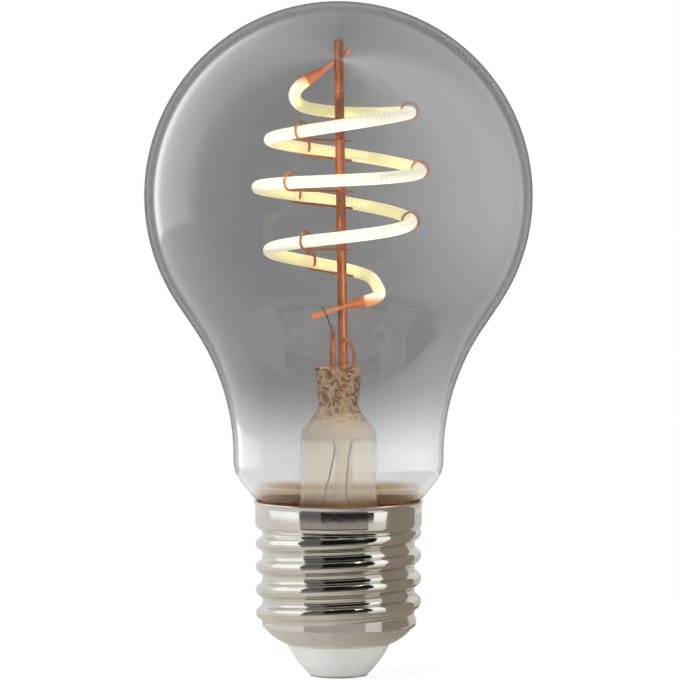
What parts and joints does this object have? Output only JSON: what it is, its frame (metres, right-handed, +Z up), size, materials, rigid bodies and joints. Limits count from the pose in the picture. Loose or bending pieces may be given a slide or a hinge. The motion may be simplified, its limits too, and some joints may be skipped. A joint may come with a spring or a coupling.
{
  "type": "led filament bulb",
  "caption": "Pear-shaped smoked glass lamp bulb with a spiral LED filament on a copper post and a metal screw cap.",
  "frame": {"origin": "on the axis of the screw cap, at the flat of the centre contact", "axes": "+Z up the axis from the cap to the crown of the glass; -Y is the front, +X to the right seen from there"},
  "size_m": [0.0608, 0.0608, 0.1062],
  "materials": {
    "smoked_glass": "blown, smoke grey, clearer at the neck",
    "stem_glass": "clear, pressed",
    "copper": "copper plated, satin",
    "dumet": "oxidised copper, dark",
    "silicone": "phosphor-filled silicone, pale yellow, satin",
    "terminal": "tinned copper, satin",
    "nickel": "nickel plated, polished, rolled",
    "white_plastic": "moulded, satin gloss",
    "contact_metal": "nickel plated, satin",
    "cement": "baked, matt",
    "board": "solder mask, satin",
    "package": "moulded epoxy, matt",
    "can": "sleeved aluminium can, satin",
    "resistor": "lacquered, satin"
  },
  "bodies": {
    "root": {"basing_cement": "cement", "bottom_jumper": "dumet", "bridge_rectifier": "package", "cap_insulator": "white_plastic", "centre_contact": "contact_metal", "centre_post": "copper", "driver_board": "board", "driver_chip": "package", "exhaust_tube": "stem_glass", "filament_end_bottom": "terminal", "filament_end_top": "terminal", "fusible_resistor": "resistor", "glass_envelope": "smoked_glass", "led_filament": "silicone", "left_inner_lead": "copper", "left_outer_lead": "dumet", "left_seal_wire": "dumet", "neutral_wire": "copper", "right_inner_lead": "dumet", "right_outer_lead": "dumet", "right_seal_wire": "dumet", "screw_shell": "nickel", "smoothing_capacitor": "can", "stem_flare": "stem_glass", "support_wire_1": "copper", "support_wire_2": "copper", "support_wire_3": "copper", "support_wire_4": "copper", "support_wire_5": "copper", "support_wire_6": "copper", "support_wire_7": "copper", "support_wire_8": "copper", "support_wire_9": "copper"}
  },
  "joints": []
}
